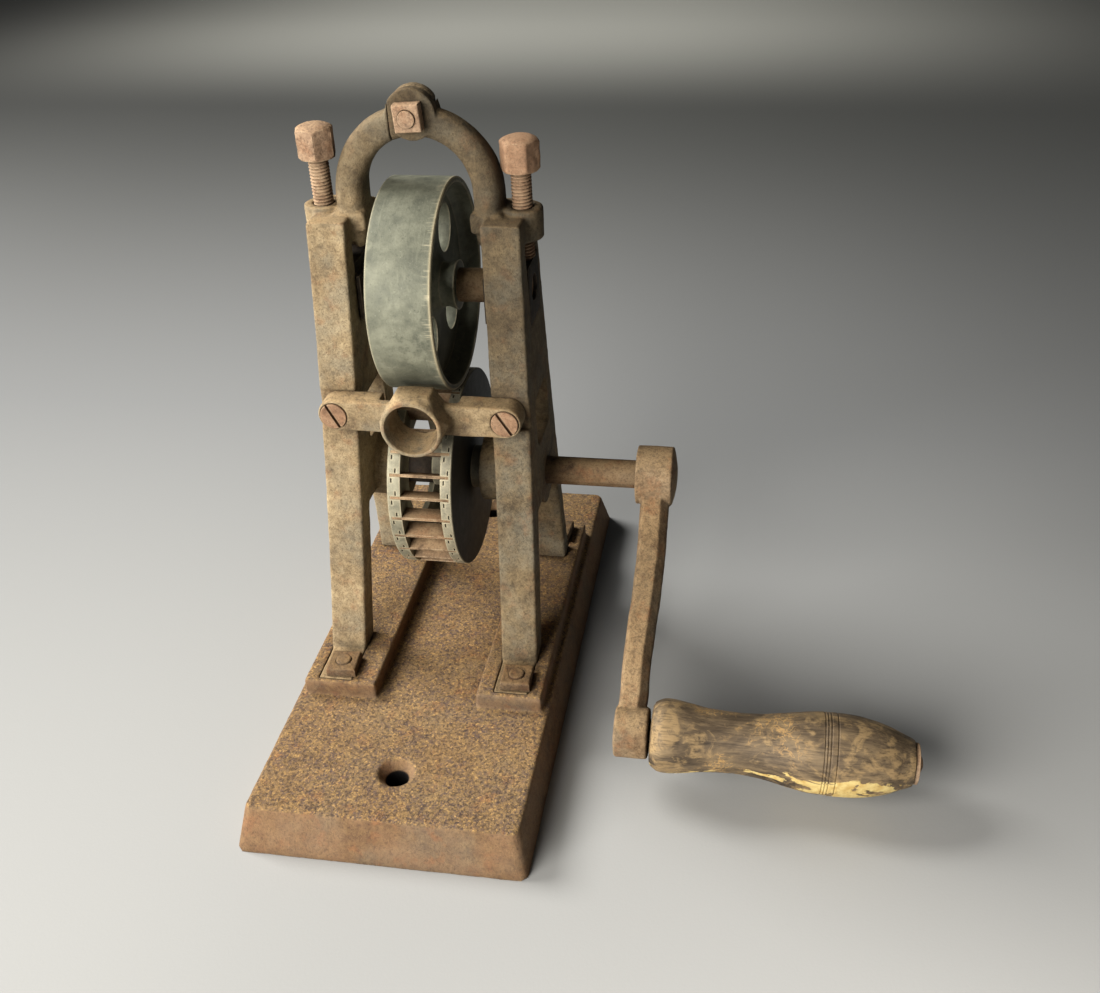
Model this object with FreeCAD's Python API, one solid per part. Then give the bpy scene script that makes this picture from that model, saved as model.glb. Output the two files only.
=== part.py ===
"""Hand-cranked feed-and-cut machine: cast-iron base, two A-shaped side frames joined by a bolted
arch, a smooth pressure wheel above a bladed wheel, a feed funnel between them, and a crank.

Frame: millimetres, +X right (towards the crank), +Y back, +Z up.  The origin is on the underside
of the base, below the two wheel axes, half way between the side frames."""

import math
import os

import FreeCAD
import Part
from FreeCAD import Vector

# --- driving dimensions -------------------------------------------------------------------------

# base casting
BASE_HALF_WIDTH = 68.8          # at the underside
BASE_FRONT = -174.0             # underside edge
BASE_REAR = 119.0
BASE_SIDE_SLOPE = 4.6           # how far the top edge stands in from the underside edge
BASE_END_SLOPE = 7.9
BASE_HEIGHT = 21.4
BASE_WALL = 9.0                 # the casting is hollow underneath
BASE_CEILING = 12.0             # height of the hollow
BASE_RIB_Y = (-100.0, 0.0)      # cross ribs in the hollow; the one below the axes marks the origin
BASE_RIB_HALF = 3.0
BASE_POST_WALL = 4.0            # wall of the posts around the mounting holes
RAIL_HEIGHT = 8.6               # two raised rails carry the side frames
RAIL_FRONT = -88.0
RAIL_REAR = 66.0
RAIL_OUTER = 60.8
CHANNEL_LEFT = -23.5            # the channel between the rails
CHANNEL_RIGHT = 28.0
MOUNT_HOLE_Y = (-136.0, 88.0)
MOUNT_HOLE_RADIUS = 5.3
MOUNT_SINK_RADIUS = 9.2
MOUNT_SINK_DEPTH = 5.0

# shafts and wheels
WHEEL_RADIUS = 50.0
LOWER_RADIUS = 50.8
WHEEL_GAP = 0.3
LOWER_AXIS_Z = 107.6
UPPER_AXIS_Z = LOWER_AXIS_Z + LOWER_RADIUS + WHEEL_RADIUS + WHEEL_GAP
WHEEL_MIDDLE_X = -1.6
CRANK_SHAFT_RADIUS = 7.14       # 9/16 in shaft
UPPER_SHAFT_RADIUS = 6.35       # 1/2 in shaft
RUNNING_CLEARANCE = 0.05
FIT_CLEARANCE = 0.01            # around parts pinned or pressed together
PIN_RADIUS = 2.0
CRANK_PIN_RADIUS = 2.5
UPPER_SLEEVE_RADIUS = 8.0
LOWER_SLEEVE_RADIUS = 10.0

# upper wheel
UPPER_HALF_WIDTH = 15.1
UPPER_RIM_WALL = 2.6
UPPER_WEB = (-3.5, 4.0)
UPPER_HUB_RADIUS = 11.5
UPPER_WEB_HOLE_RADIUS = 11.5
UPPER_WEB_HOLE_CIRCLE = 28.8
UPPER_WEB_HOLES = 4

# bladed wheel
LEFT_RIM_X = (-17.8, -11.2)
RIGHT_DISC_X = (8.8, 14.4)
LEFT_RIM_OPENING = 27.5
BLADE_COUNT = 28
BLADE_FIRST_ANGLE = 142.6       # degrees, from +Y towards +Z
BLADE_THICKNESS = 1.4
BLADE_DEPTH = 9.0
BLADE_CLEARANCE = 0.04
BLADE_HUB_RADIUS = 11.0
BLADE_HUB_START = -6.0
BLADE_PIN_X = -2.0

# side frames (dimensions of the top; the frames stand wider apart at the foot)
FRAME_INNER = 31.3
FRAME_OUTER = 49.6
FRAME_SPLAY = 0.0218            # outward lean, mm per mm of height
FRAME_TOP = 246.0
FRAME_FOOT = BASE_HEIGHT + RAIL_HEIGHT
BOSS_RADIUS = 17.0
BOSS_INNER = 20.0
SLOT_HALF_WIDTH = 12.5
SLOT_FLOOR = UPPER_AXIS_Z - 15.0
SLOT_TOP = 233.5
SCREW_BOSS_RADIUS = 9.3
WINDOW_Y = (-17.0, 12.5)        # the small opening between the two bearings
WINDOW_Z = (131.0, 156.0)

# bearing blocks, seen from the right side
BLOCK_X = (32.2, 50.6)
BLOCK_FLANGE_X = (29.4, 31.2)
BLOCK_TOP = UPPER_AXIS_Z + 14.0
BLOCK_FLANGE_Z = (UPPER_AXIS_Z - 13.0, UPPER_AXIS_Z + 9.0)

# set screws, 3/8 in by 16 threads per inch
SCREW_X = 47.1
SCREW_RADIUS = 4.76
SCREW_PITCH = 25.4 / 16
SCREW_HEAD_FLATS = 16.2
SCREW_HEAD_HEIGHT = 15.0
SCREW_HEAD_BASE = {-1: 269.5, 1: 265.0}
SCREW_HEAD_TURN = {-1: 16.0, 1: 2.0}

# arch
ARCH_RADIUS = 32.2
ARCH_BAR_RADIUS = 6.9
ARCH_SPRING = 254.5
CROWN_Z = 290.2
CROWN_RADIUS = 11.5
CROWN_HALF_DEPTH = 5.5
ARCH_HALF_DEPTH = (11.0, 5.4)
CROWN_BOLT_RADIUS = 3.9
CROWN_NUT_SIDE = 12.2
CROWN_HEAD_SIDE = 12.5
CROWN_SEAT = CROWN_HALF_DEPTH + 0.25

# feed crossbar with its funnel
BAR_FRONT = -43.0
BAR_BACK = -30.6
BAR_Z = 158.0
BAR_HALF_HEIGHT = 7.9
BAR_SCREW_X = 41.6
BAR_SCREW_HEAD_RADIUS = 6.5
BAR_SCREW_RADIUS = 3.4
BAR_SCREW_END = -18.6
BAR_SLOT_ANGLES = {-1: 63.0, 1: 58.0}
FUNNEL_Z = 159.6
FUNNEL_LIP = -56.0
FUNNEL_LIP_RADIUS = 14.7
FUNNEL_BORE = (12.6, 11.6)
FUNNEL_REAR = -36.0
FUNNEL_BODY_REAR = -38.5

# feet
FOOT_NUT_Y = (-76.0, 54.0)
FOOT_NUT_X = {-1: 42.8, 1: 46.8}
FOOT_NUT_SIDE = 15.0
FOOT_NUT_HEIGHT = 4.8
FOOT_FLANGE_DEPTH = 4.0
FOOT_BOLT_RADIUS = 4.0

# crank
CRANK_HUB_X = (99.0, 117.0)
CRANK_HUB_RADIUS = 14.9
CRANK_HUB_DOME = 2.3
CRANK_ANGLE = 34.75             # degrees below the horizontal, pointing to the front
CRANK_THROW = 131.0
CRANK_BOSS_X = (99.9, 115.9)
CRANK_BOSS_RADIUS = 12.0
ARM_HALF_WIDTH = (7.1, 6.3)     # at the hub and at the grip
ARM_SWAY = 2.0                  # the arm's bend towards front and back
# sideways bend of the arm along its length: position from 0 at the hub to 1 at the grip, offset
ARM_BEND = ((0.0, 0.0), (0.15, 1.0), (0.33, 1.4), (0.5, 1.0), (0.62, 0.2), (0.75, -0.4), (0.87, -0.4),
            (1.0, 0.0))
GRIP_LENGTH = 118.8
GRIP_START = 117.0
GRIP_TILT = 2.0                 # degrees the bent spindle points below the horizontal
SPINDLE_RADIUS = 4.0
WASHER_RADIUS = 9.4
WASHER_THICKNESS = 2.0

X = Vector(1, 0, 0)
Y = Vector(0, 1, 0)
Z = Vector(0, 0, 1)

# --- helpers ------------------------------------------------------------------------------------


def box(x, y, z):
    """A box from three (low, high) pairs."""
    size = [high - low for low, high in (x, y, z)]
    return Part.makeBox(*size, Vector(x[0], y[0], z[0]))


def rod(radius, start, end):
    """A cylinder between two points."""
    start, end = Vector(*start), Vector(*end)
    along = end - start
    return Part.makeCylinder(radius, along.Length, start, along)


def cone(radius_start, radius_end, start, end):
    """A cone frustum between two points."""
    start, end = Vector(*start), Vector(*end)
    along = end - start
    return Part.makeCone(radius_start, radius_end, along.Length, start, along)


def prism(points, along):
    """A closed polygon swept along a vector."""
    outline = [Vector(*p) for p in points]
    return Part.Face(Part.makePolygon(outline + outline[:1])).extrude(Vector(*along))


def around(profile, axis_point, axis):
    """A closed profile turned a full turn about an axis."""
    outline = [Vector(*p) for p in profile]
    face = Part.Face(Part.makePolygon(outline + outline[:1]))
    return face.revolve(Vector(*axis_point), axis, 360)


def regular_prism(sides, flats, start, end, turn=0.0):
    """A square or hexagonal prism between two points on a line along Y or Z."""
    start, end = Vector(*start), Vector(*end)
    along = end - start
    upward = Y if abs(along.z) > 0 else Z
    corner = flats / 2 / math.cos(math.pi / sides)
    angles = [math.radians(turn + 360.0 * i / sides) for i in range(sides)]
    ring = [start + X * (corner * math.cos(a)) + upward * (corner * math.sin(a)) for a in angles]
    return Part.Face(Part.makePolygon(ring + ring[:1])).extrude(along)


def on_wheel(radius, angle, x, centre_z):
    """A point at an angle (degrees, from +Y towards +Z) about a wheel axis."""
    a = math.radians(angle)
    return Vector(x, radius * math.cos(a), centre_z + radius * math.sin(a))


def mirrored(shape):
    """The same shape on the other side of the middle plane."""
    return shape.mirror(Vector(0, 0, 0), X)


def save(shape, name):
    shape = shape.removeSplitter()
    assert shape.isValid(), name
    shape.exportStep("parts/" + name + ".step")


# --- base ---------------------------------------------------------------------------------------


def base_block():
    """The sloped block of the base with rounded corners, solid."""
    def outline(inset_x, inset_y, z):
        half = BASE_HALF_WIDTH - inset_x
        front, rear = BASE_FRONT + inset_y, BASE_REAR - inset_y
        corners = [(-half, front), (half, front), (half, rear), (-half, rear), (-half, front)]
        return Part.makePolygon([Vector(x, y, z) for x, y in corners])
    block = Part.makeLoft([outline(0, 0, 0), outline(BASE_SIDE_SLOPE, BASE_END_SLOPE, BASE_HEIGHT)],
                          True, True)
    upright = [e for e in block.Edges if abs(e.tangentAt(e.FirstParameter).z) > 0.5]
    block = block.makeFillet(4.5, upright)
    rim = [e for e in block.Edges if e.BoundBox.ZMin > BASE_HEIGHT - 0.01]
    return block.makeFillet(2.2, rim)


def foot_pocket(side, y_range, spare):
    """The let-in seat of a foot flange, or with no spare the flange itself."""
    leg = leg_x_range(FRAME_FOOT)
    low, high = leg[0] + 0.6 - spare, leg[1] - 0.6 + spare
    x = (low, high) if side > 0 else (-high, -low)
    y = (y_range[0] - spare, y_range[1] + spare)
    return box(x, y, (FRAME_FOOT - FOOT_FLANGE_DEPTH, FRAME_FOOT + (1 if spare else 0)))


def rail(x_low, x_high):
    """One raised rail with softened top edges."""
    block = box((x_low, x_high), (RAIL_FRONT, RAIL_REAR), (BASE_HEIGHT - 4, FRAME_FOOT))
    top = [e for e in block.Edges if e.BoundBox.ZMin > FRAME_FOOT - 0.01]
    return block.makeFillet(1.6, top)


def base_plate():
    base = base_block()
    base = base.fuse([rail(-RAIL_OUTER, CHANNEL_LEFT), rail(CHANNEL_RIGHT, RAIL_OUTER)])
    inner_x = BASE_HALF_WIDTH - BASE_WALL
    hollow = box((-inner_x, inner_x), (BASE_FRONT + BASE_WALL, BASE_REAR - BASE_WALL),
                 (-1, BASE_CEILING))
    post_radius = MOUNT_SINK_RADIUS + BASE_POST_WALL
    posts = [rod(post_radius, (0, y, -1), (0, y, BASE_CEILING)) for y in MOUNT_HOLE_Y]
    ribs = [box((-inner_x, inner_x), (y - BASE_RIB_HALF, y + BASE_RIB_HALF), (-1, BASE_CEILING))
            for y in BASE_RIB_Y]
    hollow = hollow.cut(posts + ribs)
    cuts = [hollow]
    for y in MOUNT_HOLE_Y:
        cuts.append(rod(MOUNT_HOLE_RADIUS, (0, y, -1), (0, y, BASE_HEIGHT + 1)))
        cuts.append(cone(MOUNT_HOLE_RADIUS, MOUNT_SINK_RADIUS, (0, y, BASE_HEIGHT - MOUNT_SINK_DEPTH),
                         (0, y, BASE_HEIGHT)))
    for side in (-1, 1):
        cuts += [foot_pocket(side, y_range, 0.2) for y_range in FLANGE_Y]
        for y in FOOT_NUT_Y:
            x = side * FOOT_NUT_X[side]
            cuts.append(rod(FOOT_BOLT_RADIUS + 0.3, (x, y, BASE_CEILING - 1), (x, y, FRAME_FOOT + 1)))
    return base.cut(cuts)


# --- side frames --------------------------------------------------------------------------------

# the frame's outline in the YZ plane: foot, middle and top of its two long edges
FRONT_EDGE = ((-61.8, FRAME_FOOT), (-35.6, 141.0), (-21.5, FRAME_TOP))
REAR_EDGE = ((42.0, FRAME_FOOT), (26.0, 140.0), (16.0, FRAME_TOP))
OPENING_FRONT = ((-46.5, FRAME_FOOT), (-38.2, 63.0), (-29.0, 101.0))
OPENING_REAR = ((30.5, FRAME_FOOT), (26.0, 66.0), (18.0, 98.0))
FLANGE_Y = ((-85.0, -50.0), (33.0, 63.5))


def leg_x_range(z):
    """Inner and outer face of a side frame at a height."""
    lean = FRAME_SPLAY * (FRAME_TOP - z)
    return FRAME_INNER + lean, FRAME_OUTER + lean


def arc_yz(points, x=0.0):
    return Part.Arc(*[Vector(x, y, z) for y, z in points]).toShape()


def four_sided(front, rear, x_low, x_high):
    """A plate between two long arcs, with straight top and bottom edges."""
    top = Part.makeLine(Vector(0, *front[2]), Vector(0, *rear[2]))
    bottom = Part.makeLine(Vector(0, *rear[0]), Vector(0, *front[0]))
    wire = Part.Wire(Part.__sortEdges__([arc_yz(front), top, arc_yz(rear), bottom]))
    plate = Part.Face(wire).extrude(X * (x_high - x_low))
    plate.translate(X * x_low)
    return plate


def leaning_slab():
    """The space between a frame's inner and outer faces, which lean outwards to the foot."""
    low, high = FRAME_FOOT - 10, FRAME_TOP + 10
    low_x, high_x = leg_x_range(low), leg_x_range(high)
    outline = [(low_x[0], -120, low), (low_x[1], -120, low), (high_x[1], -120, high),
               (high_x[0], -120, high)]
    return prism(outline, (0, 240, 0))


def rounded_window(y, z, radius, x=(10, 70)):
    """A through opening with rounded corners."""
    window = box(x, y, z)
    along = [e for e in window.Edges if abs(e.tangentAt(e.FirstParameter).x) > 0.9]
    return window.makeFillet(radius, along)


def frame_plate():
    """The flat A-shaped part of the right side frame."""
    plate = four_sided(FRONT_EDGE, REAR_EDGE, 20, 70).common(leaning_slab())
    plate = plate.cut(four_sided(OPENING_FRONT, OPENING_REAR, 10, 80))
    long_edges = [e for e in plate.Edges
                  if e.Length > 30 and abs(e.tangentAt(e.FirstParameter).x) < 0.5
                  and e.BoundBox.ZMax > FRAME_FOOT + 8]
    return plate.makeFillet(1.2, long_edges)


def frame_bosses():
    """Bearing boss of the crank shaft, boss of the set screw, and the foot flanges."""
    axis_x = leg_x_range(LOWER_AXIS_Z)
    bearing = rod(BOSS_RADIUS, (BOSS_INNER, 0, LOWER_AXIS_Z), (axis_x[1], 0, LOWER_AXIS_Z))
    screw_boss = rod(SCREW_BOSS_RADIUS, (SCREW_X, 0, SLOT_TOP - 1), (SCREW_X, 0, FRAME_TOP + 2.2))
    taper = cone(3.0, SCREW_BOSS_RADIUS, (SCREW_X, 0, SLOT_TOP - 9), (SCREW_X, 0, SLOT_TOP - 1))
    screw_boss = screw_boss.fuse(taper)
    flanges = [foot_pocket(1, y_range, 0.0) for y_range in FLANGE_Y]
    return [bearing, screw_boss] + flanges


def frame_cuts(side):
    """Slot of the bearing block, window, bores and tapped holes of a side frame."""
    slot = rounded_window((-SLOT_HALF_WIDTH, SLOT_HALF_WIDTH), (SLOT_FLOOR, SLOT_TOP), 1.0, (31.0, 70))
    window = rounded_window(WINDOW_Y, WINDOW_Z, 4.0)
    shaft_bore = rod(CRANK_SHAFT_RADIUS + RUNNING_CLEARANCE, (0, 0, LOWER_AXIS_Z), (80, 0, LOWER_AXIS_Z))
    screw_hole = rod(SCREW_RADIUS + 0.08, (SCREW_X, 0, SLOT_TOP - 1), (SCREW_X, 0, FRAME_TOP + 9))
    seat_half = BAR_HALF_HEIGHT + 0.2
    bar_seat = box((20, 70), (-70, BAR_BACK), (BAR_Z - seat_half, BAR_Z + seat_half))
    bar_hole = rod(BAR_SCREW_RADIUS + RUNNING_CLEARANCE, (BAR_SCREW_X, BAR_BACK - 1, BAR_Z),
                   (BAR_SCREW_X, BAR_SCREW_END + 0.4, BAR_Z))
    foot_x = FOOT_NUT_X[side]
    bolt_holes = [rod(FOOT_BOLT_RADIUS + 0.2, (foot_x, y, FRAME_FOOT - 9), (foot_x, y, FRAME_FOOT + 1))
                  for y in FOOT_NUT_Y]
    return [slot, window, shaft_bore, screw_hole, bar_seat, bar_hole] + bolt_holes


def arch_section(angle, height, depth, width=ARCH_BAR_RADIUS):
    """An oval section of the arch bar, at an angle up from the spring line or on the foot below it."""
    a = math.radians(angle)
    outward = X * math.cos(a) + Z * math.sin(a)
    centre = outward * ARCH_RADIUS + Z * height
    points = []
    for i in range(16):
        turn = 2 * math.pi * i / 16
        across, back = math.cos(turn), math.sin(turn)
        fullness = (abs(across) ** 2.5 + abs(back) ** 2.5) ** (-1 / 2.5)
        points.append(centre + outward * (across * fullness * width) + Y * (back * fullness * depth))
    curve = Part.BSplineCurve()
    curve.interpolate(points, PeriodicFlag=True)
    return Part.Wire(curve.toShape())


def arch_bar():
    """The right half of the arch bar, deep at its foot and slimmer at the crown."""
    deep, slim = ARCH_HALF_DEPTH
    sections = [arch_section(0, 228.5, deep - 6, 3.0), arch_section(0, 231.0, deep - 1.5, 5.6),
                arch_section(0, 236.0, deep), arch_section(0, 246.0, deep)]
    for angle in range(0, 91, 15):
        sections.append(arch_section(angle, ARCH_SPRING, slim + (deep - slim) * (1 - angle / 90) ** 2))
    return Part.makeLoft(sections, True, False)


def arch(side):
    """One half of the arch; the right half laps over the front of the left half at the crown."""
    bar = arch_bar()
    crown = rod(CROWN_RADIUS, (0, -CROWN_HALF_DEPTH, CROWN_Z), (0, CROWN_HALF_DEPTH, CROWN_Z))
    whole = bar.fuse([mirrored(bar), crown])
    clear = 0.03
    end = CROWN_RADIUS - 1.5
    if side > 0:
        keep = box((end, 60), (-20, 20), (200, 330)).fuse(box((-end, end), (-20, -clear), (200, 330)))
    else:
        keep = box((-60, -end - 0.3), (-20, 20), (200, 330))
        keep = keep.fuse(box((-end - 0.3, end - 0.3), (clear, 20), (200, 330)))
    pad = box((24.5, 40.0), (-12, 12), (FRAME_TOP - 8, FRAME_TOP + 1.6))
    pad = pad.makeFillet(2.0, pad.Edges)
    if side < 0:
        pad = mirrored(pad)
    bolt_hole = rod(CROWN_BOLT_RADIUS + 0.15, (0, -20, CROWN_Z), (0, 20, CROWN_Z))
    return whole.common(keep).fuse(pad).cut(bolt_hole)


def side_frame(side):
    """A side frame with its half of the arch: -1 is the left one, 1 the right one."""
    casting = frame_plate().fuse(frame_bosses())
    if side < 0:
        casting = mirrored(casting)
    casting = casting.fuse(arch(side))
    cuts = frame_cuts(side)
    if side < 0:
        cuts = [mirrored(c) for c in cuts]
    return casting.cut(cuts)


# --- fasteners ----------------------------------------------------------------------------------


def crown_bolt():
    """The bolt through the crown, its square head at the back."""
    head = regular_prism(4, CROWN_HEAD_SIDE, (0, CROWN_SEAT, CROWN_Z), (0, CROWN_SEAT + 5.75, CROWN_Z), 45)
    shank = rod(CROWN_BOLT_RADIUS, (0, -CROWN_SEAT - 6.95, CROWN_Z), (0, CROWN_SEAT, CROWN_Z))
    return head.fuse(shank)


def crown_nut():
    back, front = -CROWN_SEAT, -CROWN_SEAT - 6.0
    nut = regular_prism(4, CROWN_NUT_SIDE, (0, front, CROWN_Z), (0, back, CROWN_Z), 49)
    nut = nut.makeFillet(0.9, [e for e in nut.Edges if e.BoundBox.YMax < front + 0.01])
    return nut.cut(rod(CROWN_BOLT_RADIUS + 0.02, (0, -30, CROWN_Z), (0, 0, CROWN_Z)))


def foot_fastener_places():
    """Place of each foot bolt and how far its square nut is turned."""
    turns = (3, -2, 1, -4)
    places = [(side * FOOT_NUT_X[side], y) for side in (-1, 1) for y in FOOT_NUT_Y]
    return [(x, y, turn) for (x, y), turn in zip(places, turns)]


def foot_bolts():
    bolts = []
    for x, y, turn in foot_fastener_places():
        head = regular_prism(4, 13.0, (x, y, BASE_CEILING - 5.5), (x, y, BASE_CEILING), 45 + turn)
        shank = rod(FOOT_BOLT_RADIUS, (x, y, BASE_CEILING), (x, y, FRAME_FOOT + FOOT_NUT_HEIGHT + 0.9))
        upper = [e for e in shank.Edges if e.BoundBox.ZMin > FRAME_FOOT + 1]
        bolts.append(head.fuse(shank.makeChamfer(0.6, [e for e in upper if e.BoundBox.ZLength < 0.01])))
    return Part.makeCompound(bolts)


def foot_nuts():
    nuts = []
    for x, y, turn in foot_fastener_places():
        top = FRAME_FOOT + FOOT_NUT_HEIGHT
        nut = regular_prism(4, FOOT_NUT_SIDE, (x, y, FRAME_FOOT), (x, y, top), 45 + turn)
        nut = nut.makeFillet(1.0, [e for e in nut.Edges if e.BoundBox.ZMin > top - 0.01])
        nuts.append(nut.cut(rod(FOOT_BOLT_RADIUS + 0.02, (x, y, FRAME_FOOT - 1), (x, y, top + 1))))
    return Part.makeCompound(nuts)


def crossbar_screws():
    """Two slotted screws whose flat heads lie flush in the crossbar."""
    screws = []
    for side, slot_angle in BAR_SLOT_ANGLES.items():
        x = side * BAR_SCREW_X
        head = rod(BAR_SCREW_HEAD_RADIUS, (x, BAR_FRONT - 0.4, BAR_Z), (x, BAR_FRONT + 4, BAR_Z))
        head = head.makeFillet(0.5, [e for e in head.Edges if e.BoundBox.YMax < BAR_FRONT])
        shank = rod(BAR_SCREW_RADIUS, (x, BAR_FRONT + 4, BAR_Z), (x, BAR_SCREW_END, BAR_Z))
        slot = box((-8, 8), (BAR_FRONT - 2, BAR_FRONT + 1.4), (-0.75, 0.75))
        slot.rotate(Vector(0, 0, 0), Y, slot_angle)
        slot.translate(Vector(x, 0, BAR_Z))
        screws.append(head.fuse(shank).cut(slot))
    return Part.makeCompound(screws)


# --- feed crossbar ------------------------------------------------------------------------------


def funnel_body():
    """A hexagonal body turned round at its lip, with a short round neck behind."""
    lip, rear = FUNNEL_LIP, FUNNEL_BODY_REAR
    prism_part = regular_prism(6, 2 * FUNNEL_LIP_RADIUS, (0, lip, FUNNEL_Z), (0, rear, FUNNEL_Z))
    profile = [(0, lip), (FUNNEL_LIP_RADIUS - 0.8, lip), (FUNNEL_LIP_RADIUS, lip + 0.9),
               (FUNNEL_LIP_RADIUS + 0.6, lip + 4), (18, lip + 8), (18, rear), (0, rear)]
    turned = around([(r, y, FUNNEL_Z) for r, y in profile], (0, 0, FUNNEL_Z), Y)
    neck = cone(14.0, 13.2, (0, rear, FUNNEL_Z), (0, FUNNEL_REAR, FUNNEL_Z))
    return prism_part.common(turned).fuse(neck)


def feed_crossbar():
    z = (BAR_Z - BAR_HALF_HEIGHT, BAR_Z + BAR_HALF_HEIGHT)
    bar = box((-BAR_SCREW_X, BAR_SCREW_X), (BAR_FRONT, BAR_BACK), z)
    ends = [rod(BAR_HALF_HEIGHT, (x, BAR_FRONT, BAR_Z), (x, BAR_BACK, BAR_Z))
            for x in (-BAR_SCREW_X, BAR_SCREW_X)]
    bar = bar.fuse(ends).removeSplitter()
    bar = bar.makeFillet(1.5, [e for e in bar.Edges if e.BoundBox.YMax < BAR_FRONT + 0.01])
    # the middle of the bar is cut back so that work passes straight from the funnel to the wheels
    body = bar.cut(box((-19, 19), (FUNNEL_REAR - 2, -20), (100, 200))).fuse(funnel_body())
    cuts = [cone(*FUNNEL_BORE, (0, FUNNEL_LIP, FUNNEL_Z), (0, FUNNEL_REAR, FUNNEL_Z))]
    for side in (-1, 1):
        x = side * BAR_SCREW_X
        cuts.append(rod(BAR_SCREW_HEAD_RADIUS + 0.1, (x, BAR_FRONT - 2, BAR_Z), (x, BAR_FRONT + 4, BAR_Z)))
        cuts.append(rod(BAR_SCREW_RADIUS + 0.1, (x, BAR_FRONT, BAR_Z), (x, BAR_BACK + 1, BAR_Z)))
    return body.cut(cuts)


# --- upper carriage -----------------------------------------------------------------------------


def bearing_block(side):
    """A block that slides in the slot of a side frame and carries one end of the upper shaft."""
    bottom, top = SLOT_FLOOR + 0.05, BLOCK_TOP
    half = SLOT_HALF_WIDTH - 0.1
    block = box(BLOCK_X, (-half, half), (bottom, top))
    block = block.makeChamfer(0.8, [e for e in block.Edges if abs(e.tangentAt(e.FirstParameter).x) > 0.9])
    flange = box(BLOCK_FLANGE_X, (-half - 2.6, half + 2.6), BLOCK_FLANGE_Z)
    neck = box((BLOCK_FLANGE_X[1] - 0.1, BLOCK_X[0] + 0.1), (-half, half), BLOCK_FLANGE_Z)
    dimple = rod(3.2, (SCREW_X, 0, top - 2.0), (SCREW_X, 0, top + 1))
    bore = rod(UPPER_SHAFT_RADIUS + RUNNING_CLEARANCE, (20, 0, UPPER_AXIS_Z), (60, 0, UPPER_AXIS_Z))
    block = block.fuse([flange, neck]).cut([dimple, bore])
    return block if side > 0 else mirrored(block)


def set_screw(side):
    """A hexagon-headed screw with V-shaped thread grooves and a plain point."""
    tip = BLOCK_TOP - 1.9
    head_base = SCREW_HEAD_BASE[side]
    thread_low, thread_high = tip + 4.0, head_base - 0.2
    root = SCREW_RADIUS - 0.8
    profile = [(0, 0, tip), (2.7, 0, tip), (3.0, 0, tip + 0.4), (3.0, 0, thread_low - 0.8)]
    turns = int((thread_high - thread_low) / SCREW_PITCH)
    for i in range(turns):
        z = thread_low + i * SCREW_PITCH
        profile += [(root, 0, z), (SCREW_RADIUS, 0, z + SCREW_PITCH * 0.45),
                    (SCREW_RADIUS, 0, z + SCREW_PITCH * 0.6)]
    profile += [(root, 0, thread_high), (root, 0, head_base + 1), (0, 0, head_base + 1)]
    screw = around(profile, (0, 0, 0), Z)
    top = head_base + SCREW_HEAD_HEIGHT
    head = regular_prism(6, SCREW_HEAD_FLATS, (0, 0, head_base), (0, 0, top), 0)
    rounding = around([(0, 0, head_base), (8.2, 0, head_base), (9.7, 0, head_base + 1.6),
                       (9.7, 0, top - 3.4), (8.6, 0, top - 1.4), (5.5, 0, top - 0.2), (0, 0, top)],
                      (0, 0, 0), Z)
    screw = screw.fuse(head.common(rounding))
    screw.rotate(Vector(0, 0, 0), Z, SCREW_HEAD_TURN[side])
    screw.translate(Vector(side * SCREW_X, 0, 0))
    return screw


def upper_wheel():
    """A smooth wheel: thin rim, recessed web with round holes, long hub."""
    x = (WHEEL_MIDDLE_X - UPPER_HALF_WIDTH, WHEEL_MIDDLE_X + UPPER_HALF_WIDTH)
    rim_inner = WHEEL_RADIUS - UPPER_RIM_WALL
    hub_end = x[1] + 1.0
    profile = [(x[0] + 0.4, UPPER_HUB_RADIUS), (UPPER_WEB[0] - 3, UPPER_HUB_RADIUS + 0.6),
               (UPPER_WEB[0], UPPER_HUB_RADIUS + 3.5), (UPPER_WEB[0], rim_inner - 3.5),
               (UPPER_WEB[0] - 3.5, rim_inner - 0.4), (x[0], rim_inner), (x[0], WHEEL_RADIUS - 0.4),
               (x[0] + 0.4, WHEEL_RADIUS), (x[1] - 0.4, WHEEL_RADIUS), (x[1], WHEEL_RADIUS - 0.4),
               (x[1], rim_inner), (UPPER_WEB[1] + 3.5, rim_inner - 0.4),
               (UPPER_WEB[1], rim_inner - 3.5), (UPPER_WEB[1], UPPER_HUB_RADIUS + 3.5),
               (UPPER_WEB[1] + 3, UPPER_HUB_RADIUS - 0.8), (UPPER_WEB[1] + 6, UPPER_HUB_RADIUS - 1.2),
               (hub_end, UPPER_HUB_RADIUS + 0.4),
               (hub_end, UPPER_SHAFT_RADIUS + FIT_CLEARANCE),
               (x[0] + 0.4, UPPER_SHAFT_RADIUS + FIT_CLEARANCE)]
    wheel = around([(px, 0, UPPER_AXIS_Z + r) for px, r in profile], (0, 0, UPPER_AXIS_Z), X)
    cuts = []
    for i in range(UPPER_WEB_HOLES):
        centre = on_wheel(UPPER_WEB_HOLE_CIRCLE, 45 + 360.0 * i / UPPER_WEB_HOLES, -20, UPPER_AXIS_Z)
        cuts.append(rod(UPPER_WEB_HOLE_RADIUS, centre, centre + X * 40))
    cuts.append(upper_pin(FIT_CLEARANCE))
    return wheel.cut(cuts)


def upper_pin(spare=0.0):
    """The pin that keys the upper wheel to its shaft."""
    reach = UPPER_HUB_RADIUS - 0.2 + 5 * spare
    x = UPPER_WEB[0] - 6.0
    return rod(PIN_RADIUS + spare, (x, 0, UPPER_AXIS_Z - reach), (x, 0, UPPER_AXIS_Z + reach))


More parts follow.
